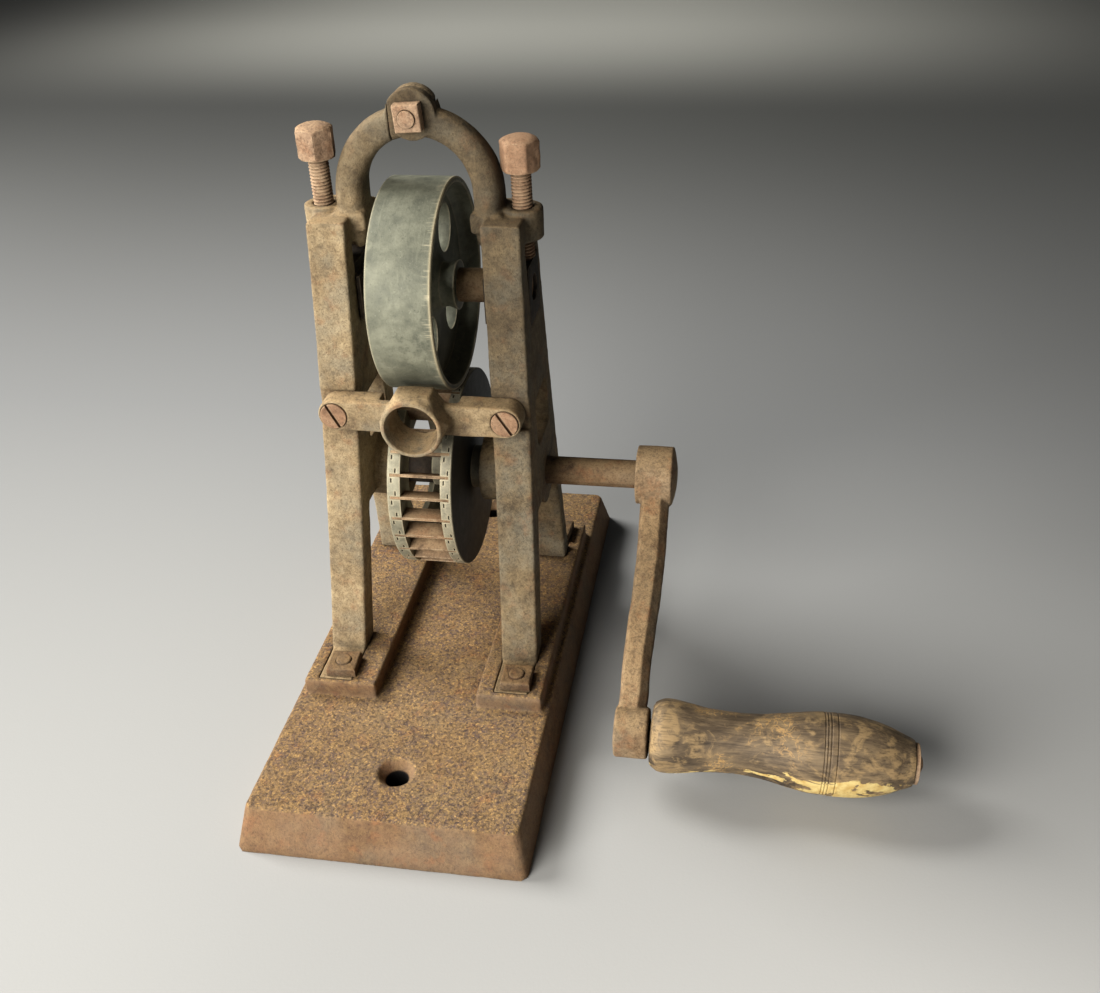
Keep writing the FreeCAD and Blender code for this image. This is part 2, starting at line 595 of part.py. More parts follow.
def upper_shaft():
    shaft = rod(UPPER_SHAFT_RADIUS, (-49.0, 0, UPPER_AXIS_Z), (49.0, 0, UPPER_AXIS_Z))
    ends = [e for e in shaft.Edges if e.BoundBox.XLength < 0.01]
    return shaft.makeChamfer(0.8, ends).cut(upper_pin(FIT_CLEARANCE))


def sleeve(radius, shaft_radius, span, axis_z):
    """A sleeve on a shaft along X."""
    low, high = span
    bore = rod(shaft_radius + 2 * FIT_CLEARANCE, (low - 1, 0, axis_z), (high + 1, 0, axis_z))
    return rod(radius, (low, 0, axis_z), (high, 0, axis_z)).cut(bore)


def upper_spacers():
    """Two sleeves that keep the upper wheel between its bearing blocks."""
    hub = (WHEEL_MIDDLE_X - UPPER_HALF_WIDTH + 0.4, WHEEL_MIDDLE_X + UPPER_HALF_WIDTH + 1.0)
    end = BLOCK_FLANGE_X[0] - 0.1
    return Part.makeCompound([sleeve(UPPER_SLEEVE_RADIUS, UPPER_SHAFT_RADIUS, span, UPPER_AXIS_Z)
                              for span in ((-end, hub[0] - 0.1), (hub[1] + 0.1, end))])


# --- bladed wheel -------------------------------------------------------------------------------


def blade_angles():
    return [BLADE_FIRST_ANGLE + 360.0 * i / BLADE_COUNT for i in range(BLADE_COUNT)]


def on_rim(shape, angle):
    """Turns a shape made at the rear of the lower wheel to an angle about its axis."""
    turned = shape.copy()
    turned.rotate(Vector(0, 0, LOWER_AXIS_Z), X, angle)
    return turned


def blade_box(spare):
    """One blade at the rear of the wheel, or its slot when there is a spare."""
    half = BLADE_THICKNESS / 2 + spare
    outer = LOWER_RADIUS + (2 if spare else -0.1)
    x = (LEFT_RIM_X[0] + 1.4 - spare, RIGHT_DISC_X[1] - 1.4 + spare)
    return box(x, (LOWER_RADIUS - BLADE_DEPTH - spare, outer), (LOWER_AXIS_Z - half, LOWER_AXIS_Z + half))


def punch_marks():
    """Short punched grooves beside one slot, which close the rims onto the blade."""
    marks = []
    for rim in (LEFT_RIM_X, RIGHT_DISC_X):
        middle = (rim[0] + rim[1]) / 2
        for offset, turn in ((-1.1, 2.9), (0.9, -2.6)):
            x = middle + offset
            mark = box((x - 0.35, x + 0.35), (LOWER_RADIUS - 0.8, LOWER_RADIUS + 1),
                       (LOWER_AXIS_Z - 1.1, LOWER_AXIS_Z + 1.1))
            marks.append(on_rim(mark, turn))
    return marks


def rim_cuts():
    one = [blade_box(BLADE_CLEARANCE)] + punch_marks()
    return [on_rim(shape, angle) for angle in blade_angles() for shape in one]


def blade_wheel_blades():
    blade = blade_box(0.0)
    return Part.makeCompound([on_rim(blade, angle) for angle in blade_angles()])


def blade_wheel_left_rim():
    """The rim at the left end of the blades: a thin web with a large opening."""
    low, high = LEFT_RIM_X
    profile = [(low, LOWER_RADIUS - 0.5), (low + 0.5, LOWER_RADIUS), (high, LOWER_RADIUS), (high, 39.5),
               (low + 4.4, 38.0), (low + 4.4, LEFT_RIM_OPENING), (low + 1.4, LEFT_RIM_OPENING),
               (low + 1.4, 38.0), (low, 39.5)]
    ring = around([(x, 0, LOWER_AXIS_Z + r) for x, r in profile], (0, 0, LOWER_AXIS_Z), X)
    return ring.cut(rim_cuts())


def blade_wheel_disc():
    """The solid disc at the right end of the blades, with the hub of the wheel."""
    low, high = RIGHT_DISC_X
    bore = CRANK_SHAFT_RADIUS + FIT_CLEARANCE
    profile = [(BLADE_HUB_START, bore), (BLADE_HUB_START, BLADE_HUB_RADIUS),
               (low - 3, BLADE_HUB_RADIUS), (low, BLADE_HUB_RADIUS + 3),
               (low, LOWER_RADIUS), (high - 0.5, LOWER_RADIUS), (high, LOWER_RADIUS - 0.5),
               (high, BLADE_HUB_RADIUS), (BOSS_INNER - 0.2, BLADE_HUB_RADIUS), (BOSS_INNER - 0.2, bore)]
    disc = around([(x, 0, LOWER_AXIS_Z + r) for x, r in profile], (0, 0, LOWER_AXIS_Z), X)
    return disc.cut(rim_cuts() + [blade_wheel_pin(FIT_CLEARANCE)])


def blade_wheel_pin(spare=0.0):
    """The pin that keys the bladed wheel to the crank shaft."""
    reach = BLADE_HUB_RADIUS - 0.2 + 5 * spare
    return rod(PIN_RADIUS + spare, (BLADE_PIN_X, 0, LOWER_AXIS_Z - reach),
               (BLADE_PIN_X, 0, LOWER_AXIS_Z + reach))


def blade_wheel_spacer():
    """A sleeve between the left bearing boss and the hub of the bladed wheel."""
    span = (-BOSS_INNER + 0.2, BLADE_HUB_START - 0.1)
    return sleeve(LOWER_SLEEVE_RADIUS, CRANK_SHAFT_RADIUS, span, LOWER_AXIS_Z)


# --- crank --------------------------------------------------------------------------------------


def crank_direction():
    a = math.radians(CRANK_ANGLE)
    return Vector(0, -math.cos(a), -math.sin(a))


def grip_axis_point():
    return Vector(0, 0, LOWER_AXIS_Z) + crank_direction() * CRANK_THROW


def on_spindle(shape):
    """Moves a shape made around the X axis onto the bent spindle of the grip."""
    placed = shape.copy()
    placed.rotate(Vector(GRIP_START, 0, 0), Y, GRIP_TILT)
    placed.translate(grip_axis_point())
    return placed


def crank_shaft():
    low = -leg_x_range(LOWER_AXIS_Z)[1] + 0.6
    shaft = rod(CRANK_SHAFT_RADIUS, (low, 0, LOWER_AXIS_Z), (CRANK_HUB_X[1] - 2, 0, LOWER_AXIS_Z))
    ends = [e for e in shaft.Edges if e.BoundBox.XLength < 0.01]
    return shaft.makeChamfer(0.8, ends).cut([blade_wheel_pin(FIT_CLEARANCE), crank_pin(FIT_CLEARANCE)])


def crank_pin(spare=0.0):
    """The pin through the crank hub and the shaft, along the arm."""
    centre = Vector(sum(CRANK_HUB_X) / 2, 0, LOWER_AXIS_Z)
    along = crank_direction()
    return rod(CRANK_PIN_RADIUS + spare, centre - along * (CRANK_HUB_RADIUS - 0.4 + 5 * spare),
               centre + along * (CRANK_SHAFT_RADIUS + 6.0 + 5 * spare))


def arm_section(t):
    """The arm's cross-section: a flat face to the front and bevelled sides."""
    centre = arm_centre(t)
    along = arm_centre(t + 0.01) - arm_centre(t - 0.01)
    along.normalize()
    face_up = along.cross(X)
    if face_up.z < 0:
        face_up = face_up * -1
    half = ARM_HALF_WIDTH[0] + (ARM_HALF_WIDTH[1] - ARM_HALF_WIDTH[0]) * t
    corners = ((-half, -4.5), (-half, 4.6), (1.4 - half, 6.4), (half - 3.6, 6.4), (half, 1.6), (half, -4.5),
               (half - 2, -6.4), (1.6 - half, -6.4))
    ring = [centre + X * u + face_up * v for u, v in corners]
    return Part.makePolygon(ring + ring[:1])


def arm_bend(t):
    """Sideways offset of the arm's centre line."""
    for (low, start), (high, end) in zip(ARM_BEND, ARM_BEND[1:]):
        if t <= high:
            break
    ease = (1 - math.cos(math.pi * (t - low) / (high - low))) / 2
    return start + (end - start) * ease


def arm_centre(t):
    """A point on the arm's gently S-shaped centre line, t from 0 at the hub to 1 at the grip."""
    along = crank_direction()
    normal = along.cross(X)
    sway = -ARM_SWAY * math.sin(2 * math.pi * t)
    hub_middle, boss_middle = sum(CRANK_HUB_X) / 2, sum(CRANK_BOSS_X) / 2
    x = hub_middle + (boss_middle - hub_middle) * t + arm_bend(t)
    return Vector(x, 0, LOWER_AXIS_Z) + along * (CRANK_THROW * t) + normal * sway


def crank_arm():
    """Hub, arm and grip boss in one casting."""
    inner, outer = CRANK_HUB_X
    hub = rod(CRANK_HUB_RADIUS, (inner, 0, LOWER_AXIS_Z), (outer, 0, LOWER_AXIS_Z))
    dome_radius = 48.0
    dome = Part.makeSphere(dome_radius, Vector(outer + CRANK_HUB_DOME - dome_radius, 0, LOWER_AXIS_Z))
    cap = rod(CRANK_HUB_RADIUS, (outer - 1, 0, LOWER_AXIS_Z), (outer + 3, 0, LOWER_AXIS_Z))
    hub = hub.fuse(cap.common(dome))
    steps = 12
    arm = Part.makeLoft([arm_section(0.04 + 0.92 * i / steps) for i in range(steps + 1)], True, False)
    end = grip_axis_point()
    boss = rod(CRANK_BOSS_RADIUS, end + X * CRANK_BOSS_X[0], end + X * CRANK_BOSS_X[1])
    boss = boss.makeFillet(1.4, [e for e in boss.Edges if e.BoundBox.XLength < 0.01])
    bore_end = outer - 1.9
    bore = rod(CRANK_SHAFT_RADIUS + FIT_CLEARANCE, (inner - 7, 0, LOWER_AXIS_Z), (bore_end, 0, LOWER_AXIS_Z))
    spindle_hole = on_spindle(rod(SPINDLE_RADIUS + FIT_CLEARANCE, (90, 0, 0), (120, 0, 0)))
    return hub.fuse([arm, boss]).cut([bore, spindle_hole, crank_pin(FIT_CLEARANCE)])


# radius of the turned grip at distances from its inner end
GRIP_PROFILE = ((0.0, 13.2), (1.6, 15.4), (5.0, 17.0), (9.0, 17.1), (16.0, 16.2), (25.0, 14.9), (33.5, 14.3),
                (42.0, 14.2), (51.0, 14.9), (59.0, 16.2), (67.0, 17.7), (74.5, 18.7), (83.5, 19.0),
                (92.5, 18.6), (100.0, 17.4), (108.0, 15.2), (115.0, 12.3), (GRIP_LENGTH, 10.6))
GRIP_GROOVES = (78.3, 79.6, 81.0, 84.0)


def wooden_grip():
    """The turned wooden grip with fine ring grooves, free to spin on its spindle."""
    curve = Part.BSplineCurve()
    curve.interpolate([Vector(GRIP_START + s, 0, r) for s, r in GRIP_PROFILE])
    first, last = GRIP_PROFILE[0], GRIP_PROFILE[-1]
    corners = [Vector(GRIP_START + last[0], 0, last[1]), Vector(GRIP_START + last[0], 0, 0),
               Vector(GRIP_START, 0, 0), Vector(GRIP_START, 0, first[1])]
    edges = [curve.toShape()] + [Part.makeLine(a, b) for a, b in zip(corners, corners[1:])]
    grip = Part.Face(Part.Wire(edges)).revolve(Vector(0, 0, 0), X, 360)
    bore = (GRIP_START - 1, 0, 0), (GRIP_START + GRIP_LENGTH + 1, 0, 0)
    cuts = [rod(SPINDLE_RADIUS + 0.08, *bore)]
    for s in GRIP_GROOVES:
        x = GRIP_START + s
        depth, half = 0.4, 0.4
        cuts.append(around([(x - half, 0, 25), (x - half, 0, 19.4), (x, 0, 18.9 - depth), (x + half, 0, 19.4),
                            (x + half, 0, 25)], (0, 0, 0), X))
    return on_spindle(grip.cut(cuts))


def grip_spindle():
    """The spindle riveted over the washer at the outer end of the grip."""
    end = GRIP_START + GRIP_LENGTH + WASHER_THICKNESS + 0.3
    spindle = rod(SPINDLE_RADIUS, (CRANK_BOSS_X[0] - 0.6, 0, 0), (end, 0, 0))
    head_radius = 6.5
    ball = Part.makeSphere(head_radius, Vector(end - 4.2, 0, 0))
    return on_spindle(spindle.fuse(ball.common(rod(8, (end, 0, 0), (end + 5, 0, 0)))))


def grip_washer():
    start = GRIP_START + GRIP_LENGTH + 0.3
    washer = rod(WASHER_RADIUS, (start, 0, 0), (start + WASHER_THICKNESS, 0, 0))
    washer = washer.makeFillet(0.4, [e for e in washer.Edges if e.BoundBox.XLength < 0.01])
    hole = rod(SPINDLE_RADIUS + FIT_CLEARANCE, (start - 1, 0, 0), (start + WASHER_THICKNESS + 1, 0, 0))
    return on_spindle(washer.cut(hole))


PARTS = {
    "base_plate": base_plate,
    "left_side_frame": lambda: side_frame(-1),
    "right_side_frame": lambda: side_frame(1),
    "crown_bolt": crown_bolt,
    "crown_nut": crown_nut,
    "foot_bolts": foot_bolts,
    "foot_nuts": foot_nuts,
    "feed_crossbar": feed_crossbar,
    "crossbar_screws": crossbar_screws,
    "left_bearing_block": lambda: bearing_block(-1),
    "right_bearing_block": lambda: bearing_block(1),
    "left_set_screw": lambda: set_screw(-1),
    "right_set_screw": lambda: set_screw(1),
    "upper_wheel": upper_wheel,
    "upper_shaft": upper_shaft,
    "upper_wheel_pin": upper_pin,
    "upper_spacers": upper_spacers,
    "blade_wheel_left_rim": blade_wheel_left_rim,
    "blade_wheel_disc": blade_wheel_disc,
    "blade_wheel_blades": blade_wheel_blades,
    "blade_wheel_pin": blade_wheel_pin,
    "blade_wheel_spacer": blade_wheel_spacer,
    "crank_shaft": crank_shaft,
    "crank_arm": crank_arm,
    "crank_pin": crank_pin,
    "wooden_grip": wooden_grip,
    "grip_spindle": grip_spindle,
    "grip_washer": grip_washer,
}

os.makedirs("parts", exist_ok=True)
for node, build in PARTS.items():
    save(build(), node)
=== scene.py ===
"""Looks of a hand-cranked feed-and-cut machine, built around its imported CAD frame.

Units are metres, +X towards the crank, +Y back, +Z up.  CAD nodes keep their meshes and get
modifiers and materials; the set screws and the wooden grip are built here in finer detail."""

import math

import bpy
from mathutils import Matrix, Vector, noise


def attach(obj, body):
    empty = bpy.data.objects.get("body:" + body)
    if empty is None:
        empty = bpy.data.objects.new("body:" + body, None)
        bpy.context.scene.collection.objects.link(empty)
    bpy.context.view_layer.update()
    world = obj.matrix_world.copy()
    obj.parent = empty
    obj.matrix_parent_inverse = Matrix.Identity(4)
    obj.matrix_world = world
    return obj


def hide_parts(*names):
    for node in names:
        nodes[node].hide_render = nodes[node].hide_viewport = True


MM = 0.001
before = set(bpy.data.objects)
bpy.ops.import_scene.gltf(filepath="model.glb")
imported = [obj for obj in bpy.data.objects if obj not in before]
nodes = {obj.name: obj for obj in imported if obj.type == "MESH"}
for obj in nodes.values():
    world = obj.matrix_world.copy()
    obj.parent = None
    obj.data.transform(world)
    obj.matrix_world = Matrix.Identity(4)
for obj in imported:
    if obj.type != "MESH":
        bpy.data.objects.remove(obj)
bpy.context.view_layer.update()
scene = bpy.context.scene


def srgb(red, green, blue):
    """Linear colour, with alpha, of an 8-bit display colour."""
    def linear(c):
        c /= 255
        return c / 12.92 if c <= 0.04045 else ((c + 0.055) / 1.055) ** 2.4
    return (linear(red), linear(green), linear(blue), 1.0)


# --- procedural materials -----------------------------------------------------------------------


class Surface:
    """A node material under construction; each method adds a node and returns its output."""

    def __init__(self, name):
        self.material = bpy.data.materials.new(name)
        self.material.use_nodes = True
        self.tree = self.material.node_tree
        self.shader = self.tree.nodes["Principled BSDF"]
        self.place = self.add("ShaderNodeTexCoord").outputs["Object"]
        self.geometry = self.add("ShaderNodeNewGeometry")

    def add(self, kind, **settings):
        node = self.tree.nodes.new(kind)
        for key, value in settings.items():
            setattr(node, key, value)
        return node

    def put(self, socket, value):
        if isinstance(value, bpy.types.NodeSocket):
            self.tree.links.new(value, socket)
        else:
            socket.default_value = value

    def stretched(self, x, y, z):
        """Object coordinates scaled per axis."""
        node = self.add("ShaderNodeMapping")
        self.put(node.inputs["Vector"], self.place)
        node.inputs["Scale"].default_value = (x, y, z)
        return node.outputs["Vector"]

    def noise(self, size, detail=4.0, rough=0.6, place=None, seed=0.0, warp=0.0):
        """Noise between 0 and 1 whose features are about size metres across."""
        node = self.add("ShaderNodeTexNoise", noise_dimensions="4D")
        self.put(node.inputs["Vector"], place or self.place)
        node.inputs["Scale"].default_value = 1.0 / size
        node.inputs["Detail"].default_value = detail
        node.inputs["Roughness"].default_value = rough
        node.inputs["Distortion"].default_value = warp
        node.inputs["W"].default_value = seed
        return node.outputs["Fac"]

    def step(self, value, low, high):
        """0 below low, 1 above high, smooth between; reversed when low is above high."""
        node = self.add("ShaderNodeMapRange", interpolation_type="SMOOTHSTEP")
        self.put(node.inputs["Value"], value)
        a, b = (low, high) if low < high else (high, low)
        node.inputs["From Min"].default_value = a
        node.inputs["From Max"].default_value = b
        node.inputs["To Min"].default_value = 0.0 if low < high else 1.0
        node.inputs["To Max"].default_value = 1.0 if low < high else 0.0
        return node.outputs["Result"]

    def math(self, operation, a, b=0.5):
        node = self.add("ShaderNodeMath", operation=operation)
        self.put(node.inputs[0], a)
        self.put(node.inputs[1], b)
        return node.outputs[0]

    def times(self, *values):
        result = values[0]
        for value in values[1:]:
            result = self.math("MULTIPLY", result, value)
        return result

    def mix(self, amount, a, b):
        """Colour a going over to colour b by an amount from 0 to 1."""
        node = self.add("ShaderNodeMix", data_type="RGBA", blend_type="MIX")
        self.put(node.inputs[0], amount)
        self.put(node.inputs[6], a)
        self.put(node.inputs[7], b)
        return node.outputs[2]

    def ramp(self, value, *stops):
        """Colours along a value; each stop is (position, colour)."""
        node = self.add("ShaderNodeValToRGB")
        self.put(node.inputs[0], value)
        elements = node.color_ramp.elements
        while len(elements) < len(stops):
            elements.new(0.5)
        for element, (position, colour) in zip(elements, stops):
            element.position = position
            element.color = colour
        return node.outputs[0]

    def facing(self, axis):
        """How far the surface faces along +X, +Y or +Z."""
        node = self.add("ShaderNodeSeparateXYZ")
        self.put(node.inputs[0], self.geometry.outputs["Normal"])
        return node.outputs[axis]

    def along(self, axis):
        """The coordinate along X, Y or Z, in metres."""
        node = self.add("ShaderNodeSeparateXYZ")
        self.put(node.inputs[0], self.place)
        return node.outputs[axis]

    def radius(self, axis_z):
        """Distance from the line along X at a height."""
        node = self.add("ShaderNodeSeparateXYZ")
        self.put(node.inputs[0], self.place)
        up = self.math("SUBTRACT", node.outputs["Z"], axis_z)
        squares = self.math("ADD", self.times(up, up), self.times(node.outputs["Y"], node.outputs["Y"]))
        return self.math("POWER", squares, 0.5)

    def upright_radius(self, y):
        """Distance from the upright line through the middle plane at y."""
        node = self.add("ShaderNodeSeparateXYZ")
        self.put(node.inputs[0], self.place)
        back = self.math("SUBTRACT", node.outputs["Y"], y)
        across = node.outputs["X"]
        squares = self.math("ADD", self.times(back, back), self.times(across, across))
        return self.math("POWER", squares, 0.5)

    def corners(self, width, low=0.04, high=0.35):
        """1 on sharp edges and corners, 0 on flat ground."""
        bevel = self.add("ShaderNodeBevel", samples=4)
        bevel.inputs["Radius"].default_value = width
        dot = self.add("ShaderNodeVectorMath", operation="DOT_PRODUCT")
        self.put(dot.inputs[0], bevel.outputs["Normal"])
        self.put(dot.inputs[1], self.geometry.outputs["Normal"])
        bend = self.math("SUBTRACT", 1.0, dot.outputs["Value"])
        return self.step(bend, low * 0.5, high * 0.5)

    def hollows(self, distance):
        """1 in recesses, 0 in the open."""
        node = self.add("ShaderNodeAmbientOcclusion", samples=4)
        node.inputs["Distance"].default_value = distance
        return self.math("SUBTRACT", 1.0, node.outputs["AO"])

    def bump(self, *layers):
        """Chains bumps; each layer is (height, depth in metres)."""
        normal = None
        for height, depth in layers:
            node = self.add("ShaderNodeBump")
            node.inputs["Strength"].default_value = 1.0
            node.inputs["Distance"].default_value = depth
            self.put(node.inputs["Height"], height)
            if normal is not None:
                self.put(node.inputs["Normal"], normal)
            normal = node.outputs["Normal"]
        return normal

    def finish(self, colour, roughness, normal, metallic=0.0, specular=0.3):
        self.put(self.shader.inputs["Base Color"], colour)
        self.put(self.shader.inputs["Roughness"], roughness)
        self.put(self.shader.inputs["Metallic"], metallic)
        self.put(self.shader.inputs["Specular IOR Level"], specular)
        self.put(self.shader.inputs["Normal"], normal)
        return self.material


def rusty_iron(name, light, middle, dark, pit, dust, pits=0.5, grey=0.35, edge=0.5, grain=1.0, seed=0.0,
               crust=0.0, rust=0.5, bores=(), shade=0.75, top_shade_and_patina=None):
    """Cast iron under old rust: mottled patina, dark pits, dust on top faces and rubbed edges."""
    s = Surface(name)
    broad = s.noise(24 * MM, 5, 0.60, seed=seed, warp=0.4)
    medium = s.noise(4.2 * MM, 6, 0.72, seed=seed + 3)
    fine = s.noise(1.0 * MM, 4, 0.75, seed=seed + 7)
    sand = s.noise(0.55 * MM, 2, 0.6, seed=seed + 9)
    colour = s.ramp(s.math("ADD", s.times(broad, 0.5), s.times(medium, 0.5)),
                    (0.38, dark), (0.49, middle), (0.62, light))
    film = s.times(s.step(s.noise(31 * MM, 4, 0.6, seed=seed + 11), 0.44, 0.62), grey)
    colour = s.mix(film, colour, srgb(132, 128, 112))
    up = s.times(s.step(s.facing("Z"), 0.35, 0.95), s.step(medium, 0.30, 0.55), 0.62)
    colour = s.mix(up, colour, dust)
    bloom = s.times(s.step(s.noise(9 * MM, 5, 0.65, seed=seed + 17), 0.52, 0.68), rust)
    colour = s.mix(bloom, colour, srgb(150, 98, 62))
    holes = s.times(s.step(s.noise(1.5 * MM, 4, 0.7, seed=seed + 23), 0.49, 0.40), pits)
    if crust:
        # thick crust of ochre grains over purple-grey scale on the upper faces
        top = s.step(s.facing("Z"), 0.55, 0.9)
        thin = s.step(s.noise(38 * MM, 4, 0.6, seed=seed + 29, warp=0.5), 0.40, 0.62)
        scale = s.times(top, s.step(s.noise(1.9 * MM, 5, 0.78, seed=seed + 31), 0.53, 0.43),
                        s.math("ADD", 0.45, s.times(thin, 0.5)), crust)
        colour = s.mix(scale, colour, srgb(96, 80, 76))
        ochre = s.times(top, s.step(s.noise(1.2 * MM, 4, 0.75, seed=seed + 37), 0.52, 0.64), 0.7 * crust)
        colour = s.mix(ochre, colour, srgb(214, 170, 104))
        side = s.step(top, 0.6, 0.1)
        colour = s.mix(s.times(side, s.step(broad, 0.30, 0.60), 0.55), colour, srgb(134, 102, 78))
        holes = s.times(holes, s.math("ADD", 0.25, s.times(top, 0.75)))
    colour = s.mix(s.times(s.step(fine, 0.50, 0.38), 0.40), colour, pit)
    colour = s.mix(holes, colour, pit)
    colour = s.mix(s.times(s.step(sand, 0.56, 0.70), 0.35), colour, light)
    rub = s.times(s.corners(1.2 * MM), s.step(medium, 0.34, 0.60), edge)
    colour = s.mix(rub, colour, srgb(205, 184, 150))
    # painted shade: recesses darkened by ambient occlusion, by the shade amount
    colour = s.mix(s.times(s.hollows(9 * MM), shade), colour, srgb(36, 26, 19))
    if top_shade_and_patina:
        # the upper part of the frame is darker between these two heights: painted shade on frame_iron's
        # arch, darker patina on dark_frame_iron's upper legs
        low, high, amount = top_shade_and_patina
        top_shade_and_patina_mask = s.times(s.step(s.math("ADD", s.along("Z"), s.times(broad, 60 * MM)), low, high), amount)
        colour = s.mix(top_shade_and_patina_mask, colour, srgb(58, 50, 38))
    for y in bores:
        # painted shade and dirt inside an upright hole: its wall is coloured nearly black
        inside = s.times(s.step(s.upright_radius(y), *MOUNT_HOLE_WALL),
                         s.step(s.along("Z"), *MOUNT_HOLE_DEEP))
        colour = s.mix(inside, colour, srgb(14, 12, 12))
    rough = s.math("ADD", 0.68, s.times(fine, 0.24))
    normal = s.bump((medium, 0.42 * MM * grain), (fine, 0.34 * MM * grain), (sand, 0.16 * MM * grain),
                    (holes, -0.24 * MM * grain))
    return s.finish(colour, rough, normal, 0.0, 0.2)


def turned_iron(name, light, middle, dark, seed=0.0, ticks=False, speckle=0.3, shaded_plus_x_faces=False):
    """A machined iron surface gone grey-green, worn bright along its edges."""
    s = Surface(name)
    broad = s.noise(17 * MM, 5, 0.6, seed=seed, warp=0.6)
    medium = s.noise(4.5 * MM, 5, 0.65, seed=seed + 2)
    fine = s.noise(0.9 * MM, 4, 0.7, seed=seed + 5)
    rings = s.noise(1.1 * MM, 3, 0.6, place=s.stretched(1.0, 0.05, 0.05), seed=seed + 8)
    colour = s.ramp(s.math("ADD", s.times(broad, 0.6), s.times(medium, 0.4)),
                    (0.34, dark), (0.50, middle), (0.68, light))
    streaks = s.noise(15 * MM, 5, 0.6, place=s.stretched(0.6, 0.45, 0.45), seed=seed + 19)
    wiped = s.times(s.step(streaks, 0.55, 0.66), s.step(medium, 0.40, 0.56), 0.5)
    colour = s.mix(wiped, colour, light)
    colour = s.mix(s.times(s.step(fine, 0.60, 0.74), speckle), colour, srgb(206, 206, 184))
    colour = s.mix(s.times(s.step(fine, 0.44, 0.32), 0.4), colour, srgb(34, 38, 32))
    colour = s.mix(s.times(s.step(rings, 0.55, 0.7), 0.18), colour, light)
    rub_amount = s.times(s.corners(1.6 * MM, 0.02, 0.22), s.step(medium, 0.22, 0.46), 0.6)
    colour = s.mix(rub_amount, colour, srgb(214, 200, 166))
    if ticks:
        # fine cross scratches left by the work along the rim's crank-side edge
        outside = s.step(s.radius(UPPER_AXIS_Z), *UPPER_RIM_BAND)
        length = s.noise(2.2 * MM, 2, 0.5, place=s.stretched(0, 1, 1))
        reach = s.math("ADD", s.along("X"), s.times(length, 6 * MM))
        lines = s.noise(0.7 * MM, 1, 0.4, place=s.stretched(0.12, 1.0, 1.0), seed=seed + 13)
        band = s.times(s.step(reach, 11.5 * MM, 15.0 * MM), s.step(lines, 0.54, 0.64), outside,
                       s.step(broad, 0.36, 0.56), 0.34)
        colour = s.mix(band, colour, srgb(220, 208, 176))
        edge_band = s.times(s.step(s.along("X"), 11.6 * MM, 13.7 * MM), s.step(medium, 0.2, 0.42),
                            outside, 0.7)
        colour = s.mix(edge_band, colour, srgb(196, 182, 146))
    # painted shade: faces turned towards +X, away from the lamps, are darkened
    if shaded_plus_x_faces:
        colour = s.mix(s.step(s.facing("X"), 0.5, 0.9), colour, srgb(38, 37, 34))
    # painted shade: recesses darkened by ambient occlusion, kept off the upper wheel's hub
    painted_recess_shade = s.times(s.hollows(15 * MM), 0.85)
    if ticks:
        painted_recess_shade = s.times(painted_recess_shade, s.step(s.radius(UPPER_AXIS_Z), 12.5 * MM, 19 * MM))
    colour = s.mix(painted_recess_shade, colour, srgb(14, 17, 14))
    if not ticks:
        # painted shade in the small stake marks around the blade ends, by ambient occlusion
        colour = s.mix(s.times(s.hollows(1.3 * MM), 0.8), colour, srgb(30, 27, 20))
    rough = s.math("ADD", 0.45, s.times(medium, 0.28))
    normal = s.bump((broad, 0.25 * MM), (medium, 0.18 * MM), (fine, 0.10 * MM), (rings, 0.05 * MM))
    return s.finish(colour, rough, normal, 0.25, 0.4)


